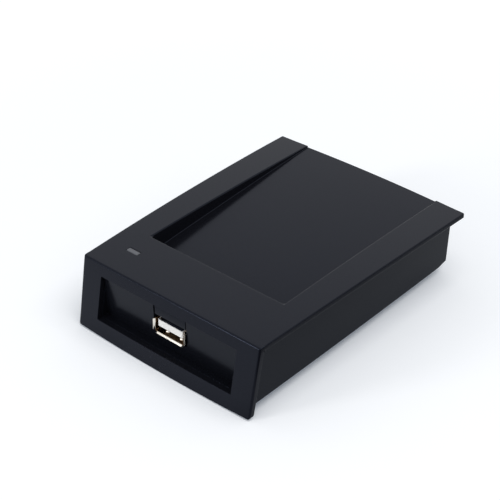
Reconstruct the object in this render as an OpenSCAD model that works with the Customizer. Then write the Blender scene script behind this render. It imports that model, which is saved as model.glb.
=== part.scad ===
// Desktop contactless smart card reader with a USB socket in its front panel.
// Millimetres. The reader stands on its feet at z = 0, its front panel faces -Y and
// the card recess opens towards +Y.

/* [Overall] */
// Depth of the reader, from the foot of the front panel to the rear edge
reader_l = 110; // [106:1:120]
// Height of the top face above the table
reader_h = 26; // [25.5:0.5:30]
// Width of the top plate along its rear edge
plate_rear_w = 82; // [79:0.5:88]
// Width of the top plate along its front edge
plate_front_w = 76; // [75:0.5:80]

/* [Top cover] */
// Thickness of the flange that shows round the top plate
flange_t = 1.4; // [1.2:0.1:1.8]
// Thickness of the top plate inside the housing walls
plate_t = 2; // [1.9:0.1:2.4]
// How far the front panel leans back between the table and the top face
panel_lean = 4.2; // [3.4:0.2:5]
// Thickness of the front panel
panel_t = 2.2; // [1.8:0.1:2.4]
// Height of the panel's foot above the table
panel_gap = 0.3; // [0.2:0.1:1]
// Width of the front panel along its foot
panel_foot_w = 74.6; // [74.2:0.2:76]
// Corner radius at the foot of the front panel
panel_r = 2; // [1:0.5:4]
// Outside diameter of the screw bosses under the cover
boss_d = 6; // [5.4:0.2:6.6]
// Length of the ribs that locate the cover inside the housing walls
rib_h = 1.6; // [1:0.2:2.4]
// Thickness of the locating ribs
rib_t = 1.2; // [1:0.1:1.6]

/* [Card recess] */
// Width of the card recess
recess_w = 57.8; // [56:0.2:59]
// Distance from the foot of the front panel to the front wall of the recess
recess_front = 26.5; // [25.5:0.5:28]
// Depth of the recess at its front wall
recess_front_depth = 6.5; // [5:0.25:7]
// Depth of the recess at the rear edge
recess_rear_depth = 0.7; // [0.5:0.1:1.2]
// Radius of the two front corners of the recess
recess_r = 1.5; // [1:0.5:4]
// Thickness of the walls round the recess
pocket_t = 1.6; // [1.4:0.1:2]
// Thickness of the recess floor
pocket_floor_t = 1.8; // [1.6:0.1:2]

/* [Front window] */
// Width of the window in the front panel
window_w = 58.8; // [54:0.4:60]
// Height of the panel above the window
lintel_h = 4.3; // [4:0.1:5]
// Depth of the window recess at its floor, from the foot of the panel
window_depth = 5.4; // [5:0.1:6]
// How far the wall behind the window leans forward between its foot and its head
wall_lean = 0.8; // [0:0.1:1]
// Thickness of the wall behind the window
front_wall_t = 1.8; // [1.6:0.1:2]
// Thickness of the two cheeks at the ends of the window recess
cheek_t = 1.5; // [1.2:0.1:1.8]

/* [Bottom housing] */
// Width of the housing at its rim
body_w = 73.2; // [72:0.2:73.8]
// How much each side wall leans in towards the floor
body_draft = 0.5; // [0.2:0.1:0.8]
// Distance from the rear edge of the top plate to the rear wall at its rim
rear_inset = 0.4; // [0.3:0.1:1]
// Wall thickness of the housing
wall_t = 2; // [1.8:0.1:2.2]
// Thickness of the housing floor
floor_t = 1.8; // [1.6:0.1:2]
// Thickness of the housing under the window recess
shelf_t = 2.3; // [2.2:0.1:2.6]
// Corner radius of the rear corners
body_r = 2; // [1.6:0.2:3]
// Gap between the socket's shell and the sides of the slot round it
notch_gap = 0.55; // [0.4:0.05:0.8]
// Gap between parts that fit into each other
fit_gap = 0.2; // [0.15:0.05:0.25]

/* [Feet] */
// Clear height of the housing above the table
ground_gap = 3.6; // [3.4:0.1:4]
// Diameter of a rubber foot
foot_d = 10; // [8:0.5:10.5]
// Depth of the seat that holds a foot
foot_seat = 1; // [0.8:0.1:1.1]
// Distance from a foot's centre to the rear wall or the window recess
foot_inset = 7.6; // [6.8:0.2:8]
// Distance from a foot's centre to the inside of the side wall
foot_side = 8; // [7:0.2:9]

/* [Housing screws] */
// Thread diameter of a housing screw
screw_d = 2.9; // [2.6:0.1:3]
// Length of a housing screw below its head
screw_l = 10; // [9:0.5:11]
// Head diameter of a housing screw
screw_head_d = 5.2; // [5:0.1:5.4]
// Head height of a housing screw
screw_head_h = 1.8; // [1.6:0.1:2]
// Outside diameter of the tube round a housing screw
tube_d = 7.4; // [7.2:0.1:7.6]
// Height of the tubes above the housing floor
tube_h = 5.6; // [5.2:0.2:6.4]
// Thickness of the web that a screw head clamps
web_t = 2; // [1.8:0.1:2.2]

/* [Circuit board] */
// Length of the circuit board
board_l = 72; // [70:1:76]
// Thickness of the circuit board
board_t = 1.6; // [1.5:0.1:1.7]
// Diameter of the posts under the circuit board
post_d = 5.4; // [5:0.2:6]
// Thread diameter of a board screw
board_screw_d = 2.2; // [2:0.1:2.4]
// Head diameter of a board screw
board_screw_head_d = 4.2; // [3.8:0.2:4.6]
// Head height of a board screw
board_screw_head_h = 1.4; // [1.2:0.1:1.6]

/* [USB socket] */
// Distance of the socket to the left of the centre line
socket_offset = 0; // [0:0.1:2]
// How far the socket sits below the middle of the window
socket_drop = 0.4; // [0:0.1:1]
// Outside width of the socket's metal shell
shell_w = 13.1; // [13:0.05:13.3]
// Outside height of the shell
shell_h = 5.8; // [5.7:0.1:6.2]
// Length of the shell
shell_l = 14; // [13.6:0.1:14.4]
// Thickness of the shell's sheet
shell_t = 0.3; // [0.25:0.05:0.35]
// How far the mouth stands out of the wall behind it
mouth_out = 0.25; // [0.1:0.05:0.6]
// Length of the flared lips at the mouth
lip_l = 1.2; // [0.8:0.1:1.4]
// Thickness of the plastic tongue
tongue_t = 1.9; // [1.8:0.05:2]
// Gap between the plastic tongue and the sides of the shell
tongue_gap = 0.65; // [0.5:0.05:0.8]

/* [Status light] */
// Length of the light's window
light_l = 4.8; // [4:0.1:5]
// Width of the light's window
light_w = 2; // [1.8:0.1:2.4]
// Height of the light's lens
light_h = 7; // [6:0.5:8]
// Distance of the light to the left of the centre line
light_x = 27; // [25.5:0.5:27.5]
// Distance of the light behind the top front edge
light_back = 12.1; // [11.6:0.1:12.4]

/* [Buzzer] */
// Diameter of the buzzer
buzzer_d = 12; // [11:0.5:12]
// Height of the buzzer
buzzer_h = 8.5; // [7.5:0.5:9.5]

/* [Chips] */
// Side of the square microcontroller
mcu_s = 7; // [6:0.5:8]
// Thickness of the chips
chip_t = 1.4; // [1.2:0.1:1.6]
// Length of the reader chip
reader_chip_l = 10.2; // [9:0.2:11]
// Width of the reader chip
reader_chip_w = 5.3; // [4.8:0.1:5.8]
// Distance between the chips' pins
pin_spacing = 0.65; // [0.6:0.01:0.7]

/* [Loose components] */
// Length of a crystal's can
crystal_l = 11.4; // [10:0.2:12]
// Width of a crystal's can
crystal_w = 4.7; // [4.2:0.1:5]
// Height of a crystal's can
crystal_h = 3.6; // [3:0.2:4]
// Diameter of the electrolytic capacitors
can_d = 6; // [5:0.1:6.3]
// Height of the electrolytic capacitors
can_h = 9; // [7:0.5:10]
// Length of the small chip components
smd_l = 2; // [1.6:0.1:2.2]
// Width of the small chip components
smd_w = 1.25; // [1:0.05:1.4]

/* [Antenna] */
// Width of the antenna board
antenna_w = 47; // [44:0.5:48]
// Distance from the ends of the antenna board to the ends of the recess
antenna_margin = 8.75; // [7.75:0.25:11]
// Thickness of the antenna board
antenna_t = 1; // [0.8:0.1:1.2]
// Height of the standoffs between the recess floor and the antenna board
standoff_h = 1; // [0.8:0.1:1.2]
// Number of turns of the antenna
turns = 4; // [3:1:5]
// Width of an antenna trace
trace_w = 1; // [0.7:0.1:1.1]
// Distance between neighbouring turns of the antenna
trace_spacing = 1.9; // [1.8:0.1:2]

/* [Hidden] */
$fn = 48;

// Cuts run this far past the faces that they open
over = 1;
// Parts of one piece run this far into each other where they join
bite = 0.1;

// Levels and ends of the reader
front_y = -reader_l / 2;
rear_y = reader_l / 2;
floor_z = ground_gap + floor_t;
shelf_z = ground_gap + shelf_t;
rim_z = reader_h - flange_t - fit_gap / 2;
window_h = reader_h - lintel_h - shelf_z;
board_top = shelf_z + (window_h - shell_h) / 2 - socket_drop;
board_z = board_top - board_t;
tube_z = floor_z + tube_h;
window_top_z = shelf_z + window_h;
wall_top_z = window_top_z - fit_gap;

// Card recess: a floor that rises towards the rear
recess_y = front_y + recess_front;
recess_l = rear_y - recess_y;
recess_rise = recess_front_depth - recess_rear_depth;
slope_a = atan(recess_rise / recess_l);
function recess_floor_z(y) = reader_h - recess_front_depth + recess_rise * (y - recess_y) / recess_l;
function pocket_under_z(y) = recess_floor_z(y) - pocket_floor_t;

// Front panel, and the wall that closes its window from behind
function panel_y(z) = front_y + panel_lean * (z - panel_gap) / (reader_h - panel_gap);
function panel_back_y(z) = panel_y(z) + panel_t;
panel_flare = (plate_front_w - panel_foot_w) / 2 / (reader_h - panel_gap);
panel_corner_x = panel_foot_w / 2 + panel_r * panel_flare - panel_r;
function wall_y(z) = front_y + window_depth - wall_lean * (z - shelf_z) / (wall_top_z - shelf_z);
function wall_back_y(z) = wall_y(z) + front_wall_t;

// Status light above the wide front strip of the board
light_y = panel_y(reader_h) + light_back;
light_z = reader_h - light_h;
light_collar = 0.5;
light_collar_h = 1.2;
light_gap = 0.5;
light_lead_spacing = 2.54;
light_lead_x = [for (s = [-1, 1]) -light_x + s * light_lead_spacing / 2];

// Inside of the housing, and the screws that close it
inner_half_w = body_w / 2 - body_draft - wall_t;
screw_x = inner_half_w - tube_d / 2;
front_screw_y = light_y + light_w / 2 + light_collar + light_gap + tube_d / 2;
rear_screw_y = rear_y - foot_inset - foot_d / 2 - tube_d / 2 - foot_seat;
screw_places = [for (sx = [-1, 1], y = [front_screw_y, rear_screw_y]) [sx * screw_x, y]];
foot_x = inner_half_w - foot_side;
foot_places = [for (sx = [-1, 1], y = [front_y + panel_lean + foot_inset, rear_y - foot_inset])
               [sx * foot_x, y]];

// Cross recess of the screws, as shares of the head's and the thread's diameter
cross_share = 0.62;
cross_slot_share = 0.22;

// Circuit board: a wide front strip, then a body between the screw tubes
board_gap = 0.6;
board_y = wall_back_y(board_z) + fit_gap;
board_strip_w = 2 * (inner_half_w - board_gap);
board_w = 2 * (screw_x - tube_d / 2 - board_gap);
board_strip_l = front_screw_y - tube_d / 2 - board_gap - board_y;
post_places_shares = [[-0.84, 0.28], [0.84, 0.28], [-0.84, 0.95], [0.84, 0.95]];
post_places = [for (p = post_places_shares) on_board(p)];
function on_board(share) = [share[0] * board_w / 2, board_y + share[1] * board_l];

// Socket, seated on the board with its mouth in the window recess
socket_x = -socket_offset;
socket_z = board_top;
mouth_y = wall_y(socket_z + shell_h / 2) - mouth_out;
shell_end_y = mouth_y + shell_l;
shell_inner_w = shell_w - 2 * shell_t;
notch_w = shell_w + 2 * notch_gap;
tongue_w = shell_inner_w - 2 * tongue_gap;
lip_a = 45;
lip_w_share = 0.84;
lip_h_share = 0.76;
tongue_drop = 0.7;
tongue_top = socket_z + shell_h - shell_t - tongue_drop;
tongue_z = tongue_top - tongue_t;
tongue_set_back = 0.6;
insulator_block_l = 5;
contact_w = 1;
contact_t = 0.25;
contact_shares = [-0.3125, -0.09, 0.09, 0.3125];
contact_places = [for (s = contact_shares) s * tongue_w];
contact_tail_y = shell_end_y - insulator_block_l / 2;
lead_below = 1.2;
lead_w = 0.5;
lead_hole_d = 0.9;
leg_w = 2.4;
leg_y = shell_end_y - insulator_block_l - leg_w;
slot_gap = 0.15;

// Places of the components on the board, as shares of its half width and its length
buzzer_share = [0.68, 0.105];
mcu_share = [-0.1, 0.42];
reader_chip_share = [0.1, 0.68];
crystals_shares = [[-0.62, 0.56], [0.62, 0.68]];
regulator_share = [0.56, 0.42];
cans_shares = [[-0.5, 0.1], [-0.78, 0.1]];
header_share = [0, 0.9];
capacitors_shares = [[-0.36, 0.35], [-0.36, 0.47], [0.16, 0.36], [0.16, 0.48], [0.36, 0.6],
                     [0.36, 0.76], [-0.24, 0.62], [-0.24, 0.74]];
resistors_shares = [[-0.44, 0.68], [-0.44, 0.74], [-0.44, 0.8], [-0.62, 0.68], [-0.62, 0.74],
                    [-0.62, 0.8], [0.56, 0.53], [0.72, 0.53], [0.36, 0.53], [-0.44, 0.26]];
inductors_shares = [[-0.22, 0.82], [0.22, 0.82]];
transistor_share = [0.3, 0.24];
cap_t = 0.9;
resistor_t = 0.5;
inductor_s = 2.6;
inductor_h = 1.8;
pin_t = 0.15;
pin_w_share = 0.4;
pin_reach = 1;
mcu_side_pins = 9;
reader_side_pins = 14;
lead_d = 0.6;
buzzer_pin_spacing = 7.6;
buzzer_hole_d = 2;
buzzer_rim_h = 0.6;
can_lead_spacing = 2.5;
can_groove = 0.4;
can_groove_share = 0.18;
crystal_lead_spacing = 4.9;
crystal_flange = 0.4;
crystal_flange_h = 0.5;
regulator_size = [6.5, 3.5, 1.6];
regulator_tab_w = 3;
regulator_pin_w = 0.7;
regulator_pin_spacing = 2.3;
transistor_size = [2.9, 1.3, 1];

// Antenna board, hung under the sloping recess floor
antenna_y = recess_l / 2;
antenna_l = recess_l - 2 * antenna_margin;
antenna_inset = 3;
standoff_d = 5;
antenna_screw_d = 2;
antenna_screw_head_d = 3.8;
antenna_screw_head_h = 1.1;
thread_bite = 1.9;
trace_t = 0.1;
antenna_places = [for (sx = [-1, 1], sy = [-1, 1])
                  [sx * (antenna_w / 2 - antenna_inset), antenna_y + sy * (antenna_l / 2 - antenna_inset)]];
trace_inset = 7;
header_spacing = 2.54;
header_ways = 4;
header_pin_w = 0.64;
header_strip_h = 2.5;
header_hole_d = 1.3;
header_places = [for (i = [0 : header_ways - 1])
                 [header_spacing * (i - (header_ways - 1) / 2), on_board(header_share)[1]]];
function antenna_under_z(y) = pocket_under_z(y) - (standoff_h + antenna_t) / cos(slope_a);
header_top = antenna_under_z(header_places[0][1]) + antenna_t + standoff_h / 2;

// A solid with the outline points [y, z] between two X positions
module across_x(x0, x1, points) {
    translate([x0, 0, 0]) rotate([90, 0, 90]) linear_extrude(x1 - x0) polygon(points);
}

// A solid with the outline points [x, z] between two Y positions
module along_y(y0, y1, points) {
    translate([0, y1, 0]) rotate([90, 0, 0]) linear_extrude(y1 - y0) polygon(points);
}

// A box that is centred on [x, y] and stands on z
module block(place, z, size) {
    translate([place[0] - size[0] / 2, place[1] - size[1] / 2, z]) cube(size);
}

// A rectangle whose four corners are round
module round_rect(w, l, r) {
    square([w - 2 * r, l], center = true);
    square([w, l - 2 * r], center = true);
    for (sx = [-1, 1], sy = [-1, 1]) translate([sx * (w / 2 - r), sy * (l / 2 - r)]) circle(r);
}

// An upright cylinder between two levels
module post(place, z0, z1, d) {
    translate([place[0], place[1], z0]) cylinder(h = z1 - z0, d = d);
}

// Top cover

// Plan of the card recess, grown by a wall, with round corners at the front
module recess_plan(grow) {
    r = recess_r + grow;
    w = recess_w + 2 * grow;
    front = recess_y - grow;
    translate([-w / 2, front + r]) square([w, rear_y + over - front - r]);
    translate([-w / 2 + r, front]) square([w - 2 * r, r + over]);
    for (sx = [-1, 1]) translate([sx * (w / 2 - r), front + r]) circle(r);
}

// Space above the sloping recess floor, or above the underside of that floor
module recess_space(grow, drop) {
    intersection() {
        translate([0, 0, floor_z]) linear_extrude(reader_h + over - floor_z) recess_plan(grow);
        across_x(-recess_w, recess_w, [
            [recess_y - pocket_t - over, recess_floor_z(recess_y - pocket_t - over) - drop],
            [rear_y + over, recess_floor_z(rear_y + over) - drop],
            [rear_y + over, reader_h + over],
            [recess_y - pocket_t - over, reader_h + over]]);
    }
}

// Plan of the top plate, which widens towards the rear
module plate_plan() {
    polygon([
        [-plate_front_w / 2, panel_y(reader_h)],
        [plate_front_w / 2, panel_y(reader_h)],
        [plate_rear_w / 2, rear_y],
        [-plate_rear_w / 2, rear_y]]);
}

// Elevation of the front panel, with two round corners at its foot
module panel_elevation() {
    difference() {
        polygon([
            [-panel_foot_w / 2, panel_gap],
            [panel_foot_w / 2, panel_gap],
            [plate_front_w / 2, reader_h],
            [-plate_front_w / 2, reader_h]]);
        for (sx = [0, 1]) mirror([sx, 0]) difference() {
            translate([panel_corner_x, panel_gap - over]) square(panel_r + over);
            translate([panel_corner_x, panel_gap + panel_r]) circle(panel_r);
        }
    }
}

module front_panel() {
    difference() {
        intersection() {
            across_x(-plate_front_w, plate_front_w, [
                [panel_y(0), 0],
                [panel_back_y(0), 0],
                [panel_back_y(reader_h), reader_h],
                [panel_y(reader_h), reader_h]]);
            translate([0, rear_y, 0]) rotate([90, 0, 0]) linear_extrude(reader_l) panel_elevation();
        }
        translate([-window_w / 2, front_y - over, shelf_z])
            cube([window_w, panel_lean + panel_t + 2 * over, window_h]);
    }
}

// Tab that closes the slot above the socket
module socket_tab() {
    w = notch_w - 2 * fit_gap;
    low = socket_z + shell_h + fit_gap;
    top = reader_h - plate_t + bite;
    across_x(socket_x - w / 2, socket_x + w / 2, [
        [wall_y(low), low],
        [wall_back_y(low), low],
        [wall_back_y(low), top],
        [panel_back_y(top) - bite, top],
        [wall_y(window_top_z), window_top_z + bite]]);
}

module cover_bosses() {
    for (p = screw_places) post(p, tube_z, reader_h - plate_t + bite, boss_d);
    on_slope() for (p = antenna_places) post(p, -standoff_h, bite, standoff_d);
}

// The local frame of the recess floor's underside: y runs up the slope
module on_slope() {
    translate([0, recess_y, pocket_under_z(recess_y)]) rotate([slope_a, 0, 0]) children();
}

module top_cover() {
    inner_w = body_w - 2 * (wall_t + fit_gap);
    plate_back = rear_y - rear_inset - wall_t - body_draft - fit_gap;
    color([0.07, 0.075, 0.085]) difference() {
        union() {
            translate([0, 0, reader_h - flange_t]) linear_extrude(flange_t) plate_plan();
            translate([-inner_w / 2, panel_y(reader_h) + panel_t - bite, reader_h - plate_t])
                cube([inner_w, plate_back - panel_y(reader_h) - panel_t + bite, plate_t - bite]);
            for (sx = [0, 1]) mirror([sx, 0, 0])
                translate([inner_w / 2 - rib_t, recess_y, reader_h - plate_t - rib_h])
                    cube([rib_t, plate_back - recess_y, rib_h + bite]);
            intersection() {
                recess_space(pocket_t, pocket_floor_t);
                linear_extrude(reader_h - flange_t / 2) plate_plan();
            }
            front_panel();
            socket_tab();
            cover_bosses();
        }
        recess_space(0, 0);
        block([-light_x, light_y], reader_h - plate_t - over, [
            light_l + fit_gap, light_w + fit_gap, plate_t + 2 * over]);
        for (p = screw_places)
            post(p, tube_z - over, tube_z + screw_l - web_t + over, screw_d + fit_gap / 2);
        on_slope() for (p = antenna_places)
            post(p, -standoff_h - over, thread_bite - standoff_h, antenna_screw_d + fit_gap / 2);
    }
}

// Bottom housing

// The housing's outside, or its inside when it is shrunk by a wall
module housing_form(shrink, z) {
    top_w = body_w / 2 - shrink;
    low_w = top_w - body_draft;
    back = rear_y - rear_inset - shrink;
    intersection() {
        across_x(-body_w, body_w, [
            [front_y, z],
            [back - body_draft, z],
            [back, rim_z + over],
            [front_y, rim_z + over]]);
        along_y(front_y - over, rear_y, [
            [-low_w, z],
            [low_w, z],
            [top_w, rim_z + over],
            [-top_w, rim_z + over]]);
        translate([0, back - reader_l / 2, 0]) linear_extrude(reader_h + over)
            round_rect(body_w - 2 * shrink, reader_l, max(body_r - shrink, bite));
    }
}

module housing_shell() {
    difference() {
        housing_form(0, ground_gap);
        // the inside, up to the wall behind the window
        difference() {
            housing_form(wall_t, floor_z);
            across_x(-window_w / 2 - cheek_t, window_w / 2 + cheek_t, [
                [front_y - over, 0],
                [wall_back_y(0), 0],
                [wall_back_y(reader_h), reader_h],
                [front_y - over, reader_h]]);
        }
        // the window recess
        across_x(-window_w / 2, window_w / 2, [
            [front_y - over, shelf_z],
            [wall_y(shelf_z), shelf_z],
            [wall_y(reader_h), reader_h],
            [front_y - over, reader_h]]);
        // room for the leaning front panel, but for the head of the wall, which stands in its window
        difference() {
            across_x(-body_w, body_w, [
                [front_y - over, -over],
                [panel_back_y(-over) + fit_gap, -over],
                [panel_back_y(reader_h) + fit_gap, reader_h],
                [front_y - over, reader_h]]);
            across_x(-window_w / 2 + fit_gap, window_w / 2 - fit_gap, [
                [wall_y(shelf_z) - bite, shelf_z],
                [wall_y(shelf_z) + front_wall_t, shelf_z],
                [wall_y(shelf_z) + front_wall_t, wall_top_z + over],
                [wall_y(wall_top_z) - bite, wall_top_z + over]]);
        }
        // the rim, lower over the wall behind the window
        translate([-body_w, front_y, rim_z]) cube([2 * body_w, reader_l, reader_h]);
        translate([-window_w / 2 - cheek_t, front_y, wall_top_z])
            cube([window_w + 2 * cheek_t, window_depth + front_wall_t, reader_h]);
        // room for the recess pocket
        across_x(-recess_w / 2 - pocket_t - fit_gap, recess_w / 2 + pocket_t + fit_gap, [
            [recess_y, pocket_under_z(recess_y) - fit_gap],
            [rear_y, pocket_under_z(rear_y) - fit_gap],
            [rear_y, reader_h],
            [recess_y, reader_h]]);
    }
}

module bottom_housing() {
    color([0.055, 0.06, 0.07]) difference() {
        union() {
            housing_shell();
            for (p = screw_places) post(p, floor_z - bite, tube_z - fit_gap / 2, tube_d);
            for (p = post_places) post(p, floor_z - bite, board_z, post_d);
        }
        for (p = screw_places) {
            post(p, ground_gap - over, tube_z - web_t - fit_gap / 2, screw_head_d + 2 * fit_gap);
            post(p, ground_gap, tube_z + over, screw_d + 2 * fit_gap);
        }
        for (p = post_places) post(p, ground_gap + foot_seat, board_z + over, board_screw_d + fit_gap / 2);
        for (p = foot_places) post(p, ground_gap - over, ground_gap + foot_seat, foot_d + fit_gap / 2);
        // slot for the socket, open at the top
        translate([socket_x - notch_w / 2, front_y, socket_z - fit_gap])
            cube([notch_w, window_depth + front_wall_t + over, reader_h]);
    }
}

module rubber_feet() {
    color([0.1, 0.1, 0.1]) for (p = foot_places) post(p, 0, ground_gap + foot_seat, foot_d);
}

module housing_screws() {
    seat = tube_z - web_t - fit_gap / 2;
    color([0.72, 0.72, 0.7]) for (p = screw_places) difference() {
        union() {
            post(p, seat - screw_head_h, seat, screw_head_d);
            post(p, seat - bite, seat + screw_l, screw_d);
        }
        for (turn = [0, 90]) translate([p[0], p[1], seat - screw_head_h]) rotate([0, 0, turn])
            cube([screw_head_d * cross_share, screw_d * cross_slot_share, screw_head_h], center = true);
    }
}

// Circuit board

module board_plan() {
    translate([-board_strip_w / 2, board_y]) square([board_strip_w, board_strip_l]);
    translate([-board_w / 2, board_y]) square([board_w, board_l]);
}

module circuit_board() {
    color([0.05, 0.3, 0.14]) difference() {
        translate([0, 0, board_z]) linear_extrude(board_t) board_plan();
        for (p = post_places) post(p, board_z - over, board_top + over, board_screw_d + 2 * fit_gap);
        for (p = concat(light_holes(), contact_holes(), buzzer_holes(), can_holes(), crystal_holes()))
            post(p, board_z - over, board_top + over, lead_hole_d);
        for (p = header_places) post(p, board_z - over, board_top + over, header_hole_d);
        for (sx = [-1, 1]) block([socket_x + sx * (shell_w - shell_t) / 2, leg_y], board_z - over,
            [shell_t + 2 * slot_gap, leg_w + 2 * slot_gap, board_t + 2 * over]);
    }
}

function light_holes() = [for (x = light_lead_x) [x, light_y]];
function contact_holes() = [for (x = contact_places) [socket_x + x, contact_tail_y]];
function pair(place, apart) = [for (s = [-1, 1]) [place[0] + s * apart / 2, place[1]]];
function buzzer_holes() = pair(on_board(buzzer_share), buzzer_pin_spacing);
function can_holes() = [for (c = cans_shares, q = pair(on_board(c), can_lead_spacing)) q];
function crystal_holes() = [for (c = crystals_shares, q = pair(on_board(c), crystal_lead_spacing)) q];

module board_screws() {
    color([0.75, 0.74, 0.7]) for (p = post_places) difference() {
        union() {
            post(p, board_top, board_top + board_screw_head_h, board_screw_head_d);
            post(p, ground_gap + foot_seat + fit_gap, board_top + bite, board_screw_d);
        }
        for (turn = [0, 90]) translate([p[0], p[1], board_top + board_screw_head_h]) rotate([0, 0, turn])
            cube([board_screw_head_d * cross_share, board_screw_d * cross_slot_share, board_screw_head_h],
                 center = true);
    }
}

// USB socket

module shell_section(shrink) {
    translate([socket_x, socket_z + shell_h / 2])
        round_rect(shell_w - 2 * shrink, shell_h - 2 * shrink, 2 * shell_t - shrink);
}

// Flared lips below the mouth and at its two sides
module shell_lips() {
    flare = lip_l * cos(lip_a);
    inside = socket_z + shell_t;
    lip_w = shell_w * lip_w_share;
    lip_h = shell_h * lip_h_share;
    across_x(socket_x - lip_w / 2, socket_x + lip_w / 2, [
        [mouth_y + bite, inside],
        [mouth_y - shell_t, inside],
        [mouth_y - shell_t - flare, inside - flare],
        [mouth_y - flare, inside - flare - shell_t],
        [mouth_y, inside - shell_t],
        [mouth_y + bite, inside - shell_t]]);
    for (side = [0, 1]) translate([socket_x, 0, socket_z + shell_h / 2 - lip_h / 2]) mirror([side, 0, 0])
        linear_extrude(lip_h) polygon([
            [shell_w / 2 - shell_t, mouth_y + bite],
            [shell_w / 2 - shell_t, mouth_y - shell_t],
            [shell_w / 2 - shell_t + flare, mouth_y - shell_t - flare],
            [shell_w / 2 + flare, mouth_y - flare],
            [shell_w / 2, mouth_y],
            [shell_w / 2, mouth_y + bite]]);
}

// Two dimples on the spring fingers of the floor, which press on the plug
module shell_dimples() {
    reach = 2 * shell_t;
    for (sx = [-1, 1]) across_x(
        socket_x + sx * shell_w / 4 - contact_w, socket_x + sx * shell_w / 4 + contact_w, [
            [mouth_y + tongue_set_back, socket_z + shell_t - bite],
            [mouth_y + tongue_set_back + 2 * contact_w, socket_z + shell_t - bite],
            [mouth_y + tongue_set_back + contact_w, socket_z + shell_t + reach]]);
}

module usb_shell() {
    color([0.78, 0.76, 0.72]) union() {
        difference() {
            translate([0, shell_end_y, 0]) rotate([90, 0, 0]) linear_extrude(shell_l) difference() {
                shell_section(0);
                shell_section(shell_t);
            }
            // the floor is open where the contacts' tails come down
            block([socket_x, contact_tail_y], socket_z - over, [
                tongue_w, insulator_block_l - 2 * contact_w, over + shell_t + bite]);
        }
        shell_lips();
        shell_dimples();
        for (sx = [-1, 1]) block([socket_x + sx * (shell_w - shell_t) / 2, leg_y],
            board_z - lead_below + bite, [shell_t, leg_w, board_t + lead_below + shell_h / 2]);
    }
}

module usb_insulator() {
    block_w = shell_inner_w - fit_gap;
    block_z = socket_z + shell_t + fit_gap / 2;
    color([0.93, 0.93, 0.9]) difference() {
        union() {
            translate([socket_x - tongue_w / 2, mouth_y + tongue_set_back, tongue_z])
                cube([tongue_w, shell_l - tongue_set_back - bite, tongue_t]);
            translate([socket_x - block_w / 2, shell_end_y - insulator_block_l, block_z])
                cube([block_w, insulator_block_l - bite, shell_h - 2 * shell_t - fit_gap]);
        }
        for (x = contact_places) block([socket_x + x, contact_tail_y], socket_z - over,
            [contact_w + slot_gap, insulator_block_l + over, tongue_z - socket_z + over]);
    }
}

module usb_contacts() {
    color([0.85, 0.7, 0.4]) for (x = contact_places) union() {
        across_x(socket_x + x - contact_w / 2, socket_x + x + contact_w / 2, [
            [mouth_y + 2 * tongue_set_back, tongue_z],
            [mouth_y + 2 * tongue_set_back, tongue_z - contact_t],
            [contact_tail_y - contact_t / 2, tongue_z - contact_t],
            [contact_tail_y - contact_t / 2, board_top],
            [contact_tail_y + contact_t / 2, board_top],
            [contact_tail_y + contact_t / 2, tongue_z]]);
        block([socket_x + x, contact_tail_y], board_z - lead_below,
            [lead_w, contact_t, board_t + lead_below + bite]);
    }
}

// Status light

module status_light() {
    color([0.75, 0.78, 0.8]) union() {
        block([-light_x, light_y], light_z, [light_l, light_w, light_h]);
        block([-light_x, light_y], light_z - light_collar_h,
            [light_l + 2 * light_collar, light_w + 2 * light_collar, light_collar_h + bite]);
    }
}

module light_leads() {
    color([0.8, 0.8, 0.8]) for (p = light_holes())
        block(p, board_z - lead_below, [lead_w, lead_w, light_z - light_collar_h - board_z + lead_below]);
}

// Components on the circuit board

module buzzer() {
    p = on_board(buzzer_share);
    color([0.08, 0.08, 0.09]) difference() {
        union() {
            post(p, board_top, board_top + buzzer_h - buzzer_rim_h, buzzer_d);
            post(p, board_top, board_top + buzzer_h, buzzer_d - 2 * buzzer_rim_h);
        }
        post(p, board_top + buzzer_h / 2, board_top + buzzer_h + over, buzzer_hole_d);
    }
}

module buzzer_pins() {
    color([0.8, 0.8, 0.8]) for (p = buzzer_holes()) post(p, board_z - lead_below, board_top, lead_d);
}

module microcontroller() {
    color([0.1, 0.1, 0.11]) block(on_board(mcu_share), board_top + pin_t, [mcu_s, mcu_s, chip_t]);
}

// A row of gull-wing pins along +X, which leave a chip's side at half the chip's height
module pin_row(count, side) {
    w = pin_spacing * pin_w_share;
    half = chip_t / 2;
    for (i = [0 : count - 1]) translate([side, pin_spacing * (i - (count - 1) / 2), board_top])
        rotate([90, 0, 0]) translate([0, 0, -w / 2]) linear_extrude(w) polygon([
            [0, half], [pin_reach / 2, half], [pin_reach / 2, pin_t],
            [pin_reach / 2, 0], [pin_reach, 0], [pin_reach, pin_t],
            [pin_reach / 2 + pin_t, pin_t], [pin_reach / 2 + pin_t, half + pin_t], [0, half + pin_t]]);
}

module microcontroller_pins() {
    p = on_board(mcu_share);
    color([0.8, 0.8, 0.8]) translate([p[0], p[1], 0])
        for (turn = [0 : 90 : 270]) rotate([0, 0, turn]) pin_row(mcu_side_pins, mcu_s / 2);
}

module reader_chip() {
    color([0.1, 0.1, 0.11])
        block(on_board(reader_chip_share), board_top + pin_t, [reader_chip_w, reader_chip_l, chip_t]);
}

module reader_chip_pins() {
    p = on_board(reader_chip_share);
    color([0.8, 0.8, 0.8]) translate([p[0], p[1], 0])
        for (turn = [0, 180]) rotate([0, 0, turn]) pin_row(reader_side_pins, reader_chip_w / 2);
}

// A can with two half-round ends
module can_plan(l, w) {
    square([l - w, w], center = true);
    for (sx = [-1, 1]) translate([sx * (l - w) / 2, 0]) circle(d = w);
}

module crystals() {
    color([0.8, 0.8, 0.78]) for (c = crystals_shares) translate(concat(on_board(c), board_top)) union() {
        linear_extrude(crystal_flange_h) can_plan(crystal_l, crystal_w);
        linear_extrude(crystal_h) can_plan(crystal_l - 2 * crystal_flange, crystal_w - 2 * crystal_flange);
    }
}

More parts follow.
